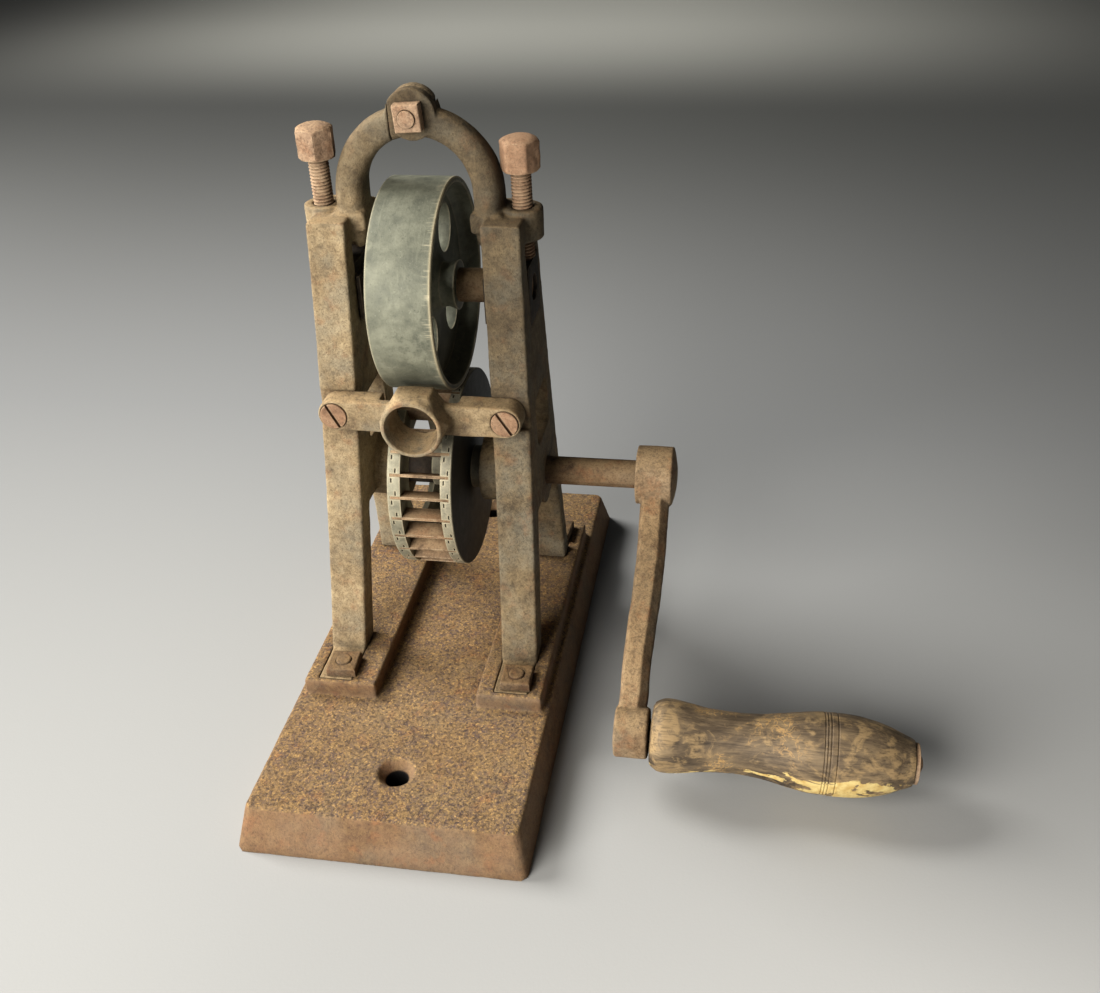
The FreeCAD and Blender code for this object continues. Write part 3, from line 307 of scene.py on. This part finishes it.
def old_wood(name):
    """Dark turned hardwood: grain along X, rubbed tan patches, and remains of cream paint."""
    s = Surface(name)
    grain = s.noise(2.4 * MM, 6, 0.65, place=s.stretched(0.07, 1, 1), seed=1)
    fibres = s.noise(0.7 * MM, 3, 0.6, place=s.stretched(0.05, 1, 1), seed=4)
    broad = s.noise(21 * MM, 5, 0.6, place=s.stretched(0.7, 1, 1), seed=9, warp=0.8)
    patch = s.noise(8.5 * MM, 6, 0.66, place=s.stretched(0.8, 1, 1), seed=15, warp=0.9)
    colour = s.ramp(s.math("ADD", s.times(grain, 0.4), s.times(broad, 0.6)),
                    (0.36, srgb(54, 44, 34)), (0.48, srgb(100, 84, 64)), (0.62, srgb(146, 124, 92)))
    ahead = s.math("SUBTRACT", s.along("Y"), GRIP_Y)
    out = s.math("SUBTRACT", s.along("X"), GRIP_START)
    height = s.math("ADD", s.math("SUBTRACT", s.along("Z"), GRIP_Z), s.times(out, math.tan(GRIP_TILT)))
    # handling has rubbed the wood tan near both ends
    rubbed_end = s.math("ADD", s.step(out, 34 * MM, 8 * MM), s.step(out, 66 * MM, 84 * MM))
    worn = s.times(s.step(s.math("ADD", patch, s.times(rubbed_end, 0.06)), 0.52, 0.66), 0.70)
    colour = s.mix(worn, colour, srgb(168, 140, 98))
    flakes = s.noise(5.5 * MM, 5, 0.6, seed=30, warp=1.0)
    crackle = s.times(s.step(s.math("ABSOLUTE", s.math("SUBTRACT", flakes, 0.5)), 0.035, 0.012),
                      s.step(broad, 0.47, 0.58), s.step(out, 12 * MM, 24 * MM),
                      s.step(out, 76 * MM, 60 * MM), 0.85)
    colour = s.mix(crackle, colour, srgb(184, 146, 92))
    colour = s.mix(s.times(s.step(fibres, 0.5, 0.36), 0.45), colour, srgb(34, 26, 20))
    # cream paint survives low down, mostly towards the outer end
    low = s.step(s.math("ADD", height, s.times(ahead, 0.9)), -11.0 * MM, -19.0 * MM)
    outer = s.step(out, 40 * MM, 86 * MM)
    spots = s.noise(9 * MM, 5, 0.6, place=s.stretched(0.45, 1, 1), seed=21, warp=1.1)
    kept = s.math("ADD", spots, s.math("ADD", s.times(outer, 0.10), s.times(low, 0.10)))
    paint = s.times(s.step(low, 0.05, 0.35), s.step(kept, 0.635, 0.655))
    paint_tint = s.ramp(s.noise(3 * MM, 4, 0.6, seed=26),
                        (0.35, srgb(196, 162, 94)), (0.6, srgb(222, 198, 132)))
    colour = s.mix(paint, colour, paint_tint)
    # painted shade in the grooves and dents, by ambient occlusion
    colour = s.mix(s.times(s.hollows(4 * MM), 0.8), colour, srgb(26, 18, 12))
    ends = s.step(s.math("ABSOLUTE", s.facing("X")), 0.75, 0.95)
    colour = s.mix(s.times(ends, 0.5), colour, srgb(52, 38, 26))
    rough = s.math("ADD", 0.50, s.times(patch, 0.25))
    normal = s.bump((grain, 0.28 * MM), (fibres, 0.14 * MM), (patch, 0.22 * MM), (paint, 0.12 * MM))
    return s.finish(colour, rough, normal, 0.0, 0.35)


# dimensions of the object that the looks depend on
UPPER_AXIS_Z = 208.7 * MM
UPPER_RIM_BAND = (49.0 * MM, 49.6 * MM)     # radii between which the upper wheel's rim face begins
MOUNT_HOLE_Y = (-136.0 * MM, 88.0 * MM)
MOUNT_HOLE_WALL = (6.0 * MM, 5.6 * MM)      # radii between which a mounting hole's wall begins
MOUNT_HOLE_DEEP = (17.4 * MM, 16.2 * MM)    # heights between which its painted shade and dirt begin
GRIP_Y = -107.636 * MM
GRIP_Z = 32.930 * MM
GRIP_START = 117.0 * MM
GRIP_LENGTH = 118.8 * MM
GRIP_TILT = math.radians(2.0)

frame_iron = rusty_iron(
    "frame_iron", srgb(180, 159, 124), srgb(147, 127, 96), srgb(103, 86, 66), srgb(70, 57, 45),
    srgb(182, 153, 111), pits=0.25, grey=0.5, edge=0.5, rust=0.3, top_shade_and_patina=(0.278, 0.292, 0.5))
dark_frame_iron = rusty_iron(
    "dark_frame_iron", srgb(146, 126, 94), srgb(114, 98, 74), srgb(78, 67, 52), srgb(50, 42, 33),
    srgb(156, 130, 92), pits=0.3, grey=0.45, edge=0.45, seed=20, rust=0.25, top_shade_and_patina=(0.13, 0.25, 0.5))
base_iron = rusty_iron(
    "base_iron", srgb(156, 128, 89), srgb(130, 102, 71), srgb(99, 75, 56), srgb(61, 50, 46),
    srgb(154, 123, 80), pits=0.6, grey=0.3, edge=0.35, seed=40, crust=0.9, bores=MOUNT_HOLE_Y)
arm_iron = rusty_iron(
    "arm_iron", srgb(173, 147, 113), srgb(141, 115, 85), srgb(98, 77, 56), srgb(60, 48, 38),
    srgb(165, 137, 98), pits=0.3, grey=0.25, edge=0.6, grain=0.8, seed=60, rust=0.4)
# nearly black: painted shade for the bearing blocks and spacers, which sit in the frames' shadow
block_iron = rusty_iron(
    "block_iron", srgb(66, 56, 46), srgb(42, 35, 29), srgb(25, 21, 18), srgb(15, 13, 12),
    srgb(62, 52, 40), pits=0.3, grey=0.05, edge=0.2, grain=0.5, seed=80, rust=0.1)
old_steel = rusty_iron(
    "old_steel", srgb(190, 160, 130), srgb(154, 124, 98), srgb(104, 80, 62), srgb(62, 48, 38),
    srgb(186, 152, 116), pits=0.25, grey=0.15, edge=0.6, grain=0.55, seed=100, rust=0.25)
foot_steel = rusty_iron(
    "foot_steel", srgb(138, 110, 76), srgb(108, 84, 60), srgb(76, 58, 43), srgb(46, 36, 29),
    srgb(134, 106, 70), pits=0.35, grey=0.2, edge=0.5, grain=0.7, seed=110, rust=0.3)
screw_steel = rusty_iron(
    "screw_steel", srgb(168, 138, 110), srgb(146, 114, 88), srgb(114, 86, 66), srgb(60, 44, 36),
    srgb(160, 128, 98), pits=0.1, grey=0.05, edge=0.4, grain=0.35, seed=120, rust=0.2)
shaft_steel = rusty_iron(
    "shaft_steel", srgb(138, 114, 84), srgb(112, 88, 63), srgb(76, 58, 43), srgb(43, 34, 27),
    srgb(138, 114, 81), pits=0.18, grey=0.15, edge=0.4, grain=0.35, seed=140, rust=0.3, shade=0.35)
wheel_iron = turned_iron(
    "wheel_iron", srgb(139, 139, 120), srgb(110, 111, 95), srgb(84, 86, 74), speckle=0.3,
    ticks=True)
rim_iron = turned_iron(
    "rim_iron", srgb(176, 170, 146), srgb(144, 139, 118), srgb(98, 96, 82), seed=9, speckle=0.35)
disc_iron = turned_iron(
    "disc_iron", srgb(170, 162, 138), srgb(136, 130, 110), srgb(92, 90, 78), seed=14, speckle=0.25,
    shaded_plus_x_faces=True)
blade_steel = rusty_iron(
    "blade_steel", srgb(170, 144, 112), srgb(132, 106, 80), srgb(90, 71, 54), srgb(50, 40, 32),
    srgb(164, 136, 102), pits=0.12, grey=0.15, edge=0.95, grain=0.3, seed=160, rust=0.3)
grip_wood = old_wood("grip_wood")


def paint(obj, material, record_slot):
    """Gives a piece one material; its record_slot argument is not used."""
    obj.data.materials.clear()
    obj.data.materials.append(material)
    for polygon in obj.data.polygons:
        polygon.material_index = 0
        polygon.use_smooth = True


# --- surface shape of the carried-over nodes ----------------------------------------------------


SHARP_EDGE = math.radians(38)


def cloud(name, size):
    texture = bpy.data.textures.new(name, "CLOUDS")
    texture.noise_scale = size
    texture.noise_depth = 3
    return texture


coarse_cloud = cloud("coarse_cloud", 9 * MM)
fine_cloud = cloud("fine_cloud", 2.2 * MM)


def displace(obj, texture, strength):
    """Bumps of a node's surface, along its normals."""
    modifier = obj.modifiers.new("roughness", "DISPLACE")
    modifier.texture = texture
    modifier.texture_coords = "LOCAL"
    modifier.strength = strength
    modifier.mid_level = 0.5


def rough_cast(obj, voxel, softness=4, coarse=0.5, fine=0.25):
    """Rounds and roughens a node like a sand casting: fine remesh, smoothing, small bumps."""
    remesh = obj.modifiers.new("skin", "REMESH")
    remesh.mode = "VOXEL"
    remesh.voxel_size = voxel
    remesh.use_smooth_shade = True
    smooth = obj.modifiers.new("soften", "SMOOTH")
    smooth.factor = 0.5
    smooth.iterations = softness
    displace(obj, coarse_cloud, coarse * MM)
    displace(obj, fine_cloud, fine * MM)


def machined(obj, width):
    """Breaks the sharp edges of a node slightly."""
    weld = obj.modifiers.new("weld", "WELD")
    weld.merge_threshold = 0.002 * MM
    bevel = obj.modifiers.new("edges", "BEVEL")
    bevel.width = width
    bevel.segments = 2
    bevel.limit_method = "ANGLE"
    bevel.angle_limit = SHARP_EDGE
    split = obj.modifiers.new("split", "EDGE_SPLIT")
    split.split_angle = SHARP_EDGE
    split.use_edge_sharp = False


CASTINGS = (
    # node, material, slot, voxel (mm), softness, coarse and fine bump (mm)
    ("base_plate", base_iron, "base_iron", 0.9, 2, 0.35, 0.22),
    ("left_side_frame", frame_iron, "frame_iron", 0.75, 3, 0.45, 0.16),
    ("right_side_frame", dark_frame_iron, "frame_iron", 0.75, 3, 0.45, 0.16),
    ("feed_crossbar", frame_iron, "frame_iron", 0.6, 10, 0.4, 0.15),
    ("crank_arm", arm_iron, "frame_iron", 0.55, 4, 0.4, 0.15),
    ("crown_nut", old_steel, "old_steel", 0.35, 3, 0.3, 0.2),
    ("crown_bolt", old_steel, "old_steel", 0.35, 3, 0.2, 0.15),
    ("foot_nuts", foot_steel, "old_steel", 0.35, 3, 0.4, 0.3),
    ("foot_bolts", foot_steel, "old_steel", 0.4, 2, 0.2, 0.15),
)
MACHINED = (
    ("crossbar_screws", screw_steel, "screw_steel", 0.15),
    ("left_bearing_block", block_iron, "block_iron", 0.2),
    ("right_bearing_block", block_iron, "block_iron", 0.2),
    ("upper_wheel", wheel_iron, "wheel_iron", 0.25),
    ("upper_shaft", shaft_steel, "shaft_steel", 0.1),
    ("upper_wheel_pin", shaft_steel, "shaft_steel", 0.1),
    ("upper_spacers", shaft_steel, "block_iron", 0.2),
    ("blade_wheel_left_rim", rim_iron, "rim_iron", 0.12),
    ("blade_wheel_disc", disc_iron, "rim_iron", 0.12),
    ("blade_wheel_blades", blade_steel, "blade_steel", 0.12),
    ("blade_wheel_pin", shaft_steel, "shaft_steel", 0.1),
    ("blade_wheel_spacer", block_iron, "block_iron", 0.2),
    ("crank_shaft", shaft_steel, "shaft_steel", 0.1),
    ("crank_pin", shaft_steel, "shaft_steel", 0.1),
    ("grip_spindle", old_steel, "old_steel", 0.1),
    ("grip_washer", old_steel, "old_steel", 0.1),
)
for node, material, slot_name, voxel, softness, coarse, fine in CASTINGS:
    paint(nodes[node], material, slot_name)
    rough_cast(nodes[node], voxel * MM, softness, coarse, fine)
for node, material, slot_name, width in MACHINED:
    paint(nodes[node], material, slot_name)
    machined(nodes[node], width * MM)


# --- pieces built here --------------------------------------------------------------------------


def tube_mesh(name, stations, radius, segments, to_place):
    """A closed surface around a line: radius(angle, s) at each station s, ends capped."""
    verts = []
    for s in stations:
        for k in range(segments):
            a = 2 * math.pi * k / segments
            r = radius(a, s)
            verts.append(to_place(r * math.cos(a), r * math.sin(a), s))
    faces = []
    for i in range(len(stations) - 1):
        for k in range(segments):
            n = (k + 1) % segments
            this, following = i * segments, (i + 1) * segments
            faces.append((this + k, this + n, following + n, following + k))
    for i, s in ((0, stations[0]), (len(stations) - 1, stations[-1])):
        centre = len(verts)
        verts.append(to_place(0.0, 0.0, s))
        for k in range(segments):
            n = (k + 1) % segments
            this, following = i * segments + k, i * segments + n
            ring = (following, this) if i == 0 else (this, following)
            faces.append((centre,) + ring)
    mesh = bpy.data.meshes.new(name)
    mesh.from_pydata([tuple(v) for v in verts], [], faces)
    mesh.update()
    obj = bpy.data.objects.new(name, mesh)
    scene.collection.objects.link(obj)
    return obj


def frange(start, end, step):
    """Even stations from start to end, about step apart."""
    count = max(1, round((end - start) / step))
    return [start + (end - start) * i / count for i in range(count + 1)]


# distance from the grip's inner end and radius there, in millimetres, then the ring grooves
GRIP_PROFILE = ((0.0, 13.2), (0.5, 14.4), (1.6, 15.4), (3.0, 16.3), (5.0, 17.0), (9.0, 17.1),
                (16.0, 16.2), (25.0, 14.9), (33.5, 14.3), (42.0, 14.2), (51.0, 14.9), (59.0, 16.2),
                (67.0, 17.7), (74.5, 18.7), (83.5, 19.0), (92.5, 18.6), (100.0, 17.4), (108.0, 15.2),
                (115.0, 12.3), (118.2, 11.0), (118.8, 10.6))
GRIP_GROOVES = (78.3, 79.6, 81.0, 84.0)


def curve_value(points, s):
    """A smooth curve through (position, value) points, by monotone Hermite pieces."""
    for i in range(len(points) - 1):
        if s <= points[i + 1][0] or i == len(points) - 2:
            break
    (x0, y0), (x1, y1) = points[i], points[i + 1]
    slope = (y1 - y0) / (x1 - x0)
    before = (y0 - points[i - 1][1]) / (x0 - points[i - 1][0]) if i > 0 else slope
    after = (points[i + 2][1] - y1) / (points[i + 2][0] - x1) if i + 2 < len(points) else slope
    m0, m1 = (before + slope) / 2, (slope + after) / 2
    t = min(1.0, max(0.0, (s - x0) / (x1 - x0)))
    h = x1 - x0
    return ((2 * t ** 3 - 3 * t ** 2 + 1) * y0 + (t ** 3 - 2 * t ** 2 + t) * h * m0
            + (3 * t ** 2 - 2 * t ** 3) * y1 + (t ** 3 - t ** 2) * h * m1)


def wooden_grip():
    """The turned grip with fine ring grooves, small dents and a slightly uneven section."""
    def radius(angle, s):
        r = curve_value(GRIP_PROFILE, s * 1000)
        groove = max(max(0.0, 1 - abs(s * 1000 - g) / 0.42) for g in GRIP_GROOVES)
        spot = Vector((math.cos(angle) * 1.3, math.sin(angle) * 1.3, s * 38))
        fine_spot = Vector((math.cos(angle) * 6, math.sin(angle) * 6, s * 150))
        uneven = 0.28 * noise.noise(spot) + 0.10 * noise.noise(fine_spot)
        dent = -0.45 * max(0.0, noise.noise(spot * 2.3 + Vector((7, 3, 1))) - 0.38)
        return (r - 0.12 - 0.38 * groove + uneven * min(1.0, s * 200) + dent) * MM

    stations = frange(0.0, 77.2 * MM, 0.9 * MM) + frange(77.4 * MM, 85.0 * MM, 0.14 * MM)
    stations += frange(85.8 * MM, GRIP_LENGTH, 0.8 * MM)
    tilt = Matrix.Rotation(GRIP_TILT, 3, "Y")
    inner_end = Vector((GRIP_START, GRIP_Y, GRIP_Z))

    def place(y, z, s):
        return inner_end + tilt @ Vector((s, y, z))

    obj = tube_mesh("turned_grip", stations, radius, 128, place)
    paint(obj, grip_wood, "grip_wood")
    split = obj.modifiers.new("split", "EDGE_SPLIT")
    split.split_angle = math.radians(50)
    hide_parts("wooden_grip")
    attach(obj, "grip")


SCREW_PITCH = 25.4 / 16 * MM
SCREW_RADIUS = 4.76 * MM
HEAD_BASES = {-1: 269.5 * MM, 1: 265.0 * MM}
HEAD_HEIGHT = 15.0 * MM
HEAD_FLATS = 16.2 * MM
SCREW_TIP = 220.85 * MM
SCREW_X = 47.1 * MM


def set_screw(name, side, turn):
    """A hexagon-headed screw with a helical thread."""
    thread_start = SCREW_TIP + 3.6 * MM
    head_base = HEAD_BASES[side]
    head_top = head_base + HEAD_HEIGHT

    def limit(z):
        """Radius of the turned outline that trims the hexagon head."""
        up = (z - head_base) / HEAD_HEIGHT
        low = 8.2 + 1.3 * min(1.0, up / 0.10)
        high = 9.5 if up < 0.78 else 9.5 - 4.4 * ((up - 0.78) / 0.22) ** 2.2
        return min(low, high) * MM

    def radius(angle, z):
        if z < SCREW_TIP + 0.35 * MM:
            return 2.6 * MM
        if z < thread_start:
            return 3.0 * MM
        if z < head_base:
            phase = (z / SCREW_PITCH - angle / (2 * math.pi)) % 1.0
            ridge = 1 - abs(2 * phase - 1)
            crest = min(1.0, ridge * 1.35)
            wear = 0.10 * noise.noise(Vector((math.cos(angle), math.sin(angle), z * 400)))
            return SCREW_RADIUS - (0.85 * (1 - crest) + max(0.0, wear)) * MM
        sector = (angle + turn) % (math.pi / 3) - math.pi / 6
        flat = HEAD_FLATS / 2 / math.cos(sector)
        spot = Vector((3 * math.cos(angle), 3 * math.sin(angle), z * 260 + side))
        lump = 0.22 * MM * noise.noise(spot)
        return min(flat, limit(z)) + lump

    stations = [SCREW_TIP, SCREW_TIP + 0.34 * MM, SCREW_TIP + 0.36 * MM, thread_start - 0.02 * MM]
    stations += frange(thread_start, head_base - 0.02 * MM, SCREW_PITCH / 9)
    stations += frange(head_base, head_top, 0.45 * MM)

    def place(x, y, z):
        return Vector((side * SCREW_X + x, y, z))

    return tube_mesh(name, stations, radius, 84, place)


for name, side, turn, body in (("set_screw_left", -1, math.radians(16), "left_screw"),
                               ("set_screw_right", 1, math.radians(2), "right_screw")):
    screw = set_screw(name, side, turn)
    paint(screw, old_steel if side < 0 else screw_steel, "old_steel")
    split = screw.modifiers.new("split", "EDGE_SPLIT")
    split.split_angle = math.radians(40)
    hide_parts("left_set_screw" if side < 0 else "right_set_screw")
    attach(screw, body)
wooden_grip()

# --- stage, light and camera --------------------------------------------------------------------


# floor and backdrop, in metres
FLOOR_FRONT = -2.5
FLOOR_HALF_WIDTH = 4.0
BEND_START = 2.2
BEND_RADIUS = 0.8
BEND_STEPS = 24
WALL_TOP = 3.0

CAMERA_PLACE = Vector((0.158439, -0.533921, 0.444851))
CAMERA_ANGLES = (11.162, 33.029, -2.837)        # yaw, pitch and roll in degrees
CAMERA_LENS = 40.741                            # mm, for a sensor 36 mm wide


def sweep():
    """A pale floor that curves up into a backdrop behind the object, with painted light and shade on it.
    """
    surface = Surface("backdrop")
    x, y = surface.along("X"), surface.along("Y")
    # painted light falloff: the floor darkens from front to back
    painted_falloff = surface.step(y, -0.30, 1.05)
    tone = surface.ramp(painted_falloff, (0.0, srgb(166, 166, 164)), (0.35, srgb(138, 139, 139)),
                        (0.72, srgb(112, 113, 112)), (1.0, srgb(86, 87, 85)))
    # painted shadow of the object on the floor to its right
    right = surface.times(surface.step(y, -0.10, 0.15), surface.step(x, 0.15, 0.45), 0.4)
    tone = surface.mix(right, tone, srgb(84, 85, 84))
    # painted light on the floor near the front right
    painted_light_near_right = surface.times(surface.step(y, 0.0, -0.40), surface.step(x, -0.05, 0.35))
    tone = surface.mix(painted_light_near_right, tone, srgb(206, 205, 202))
    # painted shade over the left of the floor and backdrop
    left = surface.times(surface.step(x, -0.05, -0.60), 0.32)
    tone = surface.mix(left, tone, srgb(60, 60, 60))
    # painted pool of light high on the backdrop
    aside = surface.math("ABSOLUTE", surface.math("ADD", x, 0.2))
    painted_light_pool = surface.times(surface.step(y, 1.0, 1.5), surface.step(aside, 1.1, 0.1))
    tone = surface.mix(painted_light_pool, tone, srgb(206, 206, 198))
    speck = surface.noise(1.5 * MM, 3, 0.6)
    surface.finish(tone, 0.85, surface.bump((speck, 0.05 * MM)), 0.0, 0.2)
    points = [(FLOOR_FRONT, 0.0)]
    for i in range(BEND_STEPS + 1):
        a = math.pi / 2 * i / BEND_STEPS
        points.append((BEND_START + BEND_RADIUS * math.sin(a), BEND_RADIUS * (1 - math.cos(a))))
    points.append((BEND_START + BEND_RADIUS, WALL_TOP))
    verts = [(side, back, up) for back, up in points for side in (-FLOOR_HALF_WIDTH, FLOOR_HALF_WIDTH)]
    faces = [(2 * i, 2 * i + 1, 2 * i + 3, 2 * i + 2) for i in range(len(points) - 1)]
    mesh = bpy.data.meshes.new("backdrop")
    mesh.from_pydata(verts, [], faces)
    mesh.materials.append(surface.material)
    for polygon in mesh.polygons:
        polygon.use_smooth = True
    obj = bpy.data.objects.new("backdrop", mesh)
    scene.collection.objects.link(obj)


def area_light(name, place, target, size, power, colour):
    """A round soft light at a place, aimed at a target."""
    data = bpy.data.lights.new(name, "AREA")
    data.shape = "DISK"
    data.size = size
    data.energy = power
    data.color = colour
    obj = bpy.data.objects.new(name, data)
    obj.location = place
    direction = Vector(target) - Vector(place)
    obj.rotation_euler = direction.to_track_quat("-Z", "Y").to_euler()
    scene.collection.objects.link(obj)


def camera():
    """The camera: place and angles in the object's own frame."""
    yaw, pitch, roll = (math.radians(v) for v in CAMERA_ANGLES)
    ahead = Vector((-math.sin(yaw) * math.cos(pitch), math.cos(yaw) * math.cos(pitch), -math.sin(pitch)))
    level = Vector((math.cos(yaw), math.sin(yaw), 0))
    over = level.cross(ahead)
    right = level * math.cos(roll) + over * math.sin(roll)
    up = over * math.cos(roll) - level * math.sin(roll)
    data = bpy.data.cameras.new("camera")
    data.sensor_fit = "HORIZONTAL"
    data.sensor_width = 36
    data.lens = CAMERA_LENS
    data.clip_start = 0.01
    obj = bpy.data.objects.new("camera", data)
    rows = [(right[k], up[k], -ahead[k], CAMERA_PLACE[k]) for k in range(3)]
    obj.matrix_world = Matrix(rows + [(0, 0, 0, 1)])
    scene.collection.objects.link(obj)
    scene.camera = obj


sweep()
area_light("key", (-1.15, 0.30, 1.10), (0.0, 0.0, 0.10), 0.8, 36.0, (1.0, 0.985, 0.95))
area_light("front", (-0.66, -1.20, 0.66), (0.0, 0.0, 0.12), 1.2, 42.0, (1.0, 0.97, 0.92))
world = bpy.data.worlds.new("studio")
world.use_nodes = True
world.node_tree.nodes["Background"].inputs["Color"].default_value = (0.9, 0.95, 1.0, 1.0)
world.node_tree.nodes["Background"].inputs["Strength"].default_value = 0.03
scene.world = world
scene.view_settings.view_transform = "Standard"
camera()
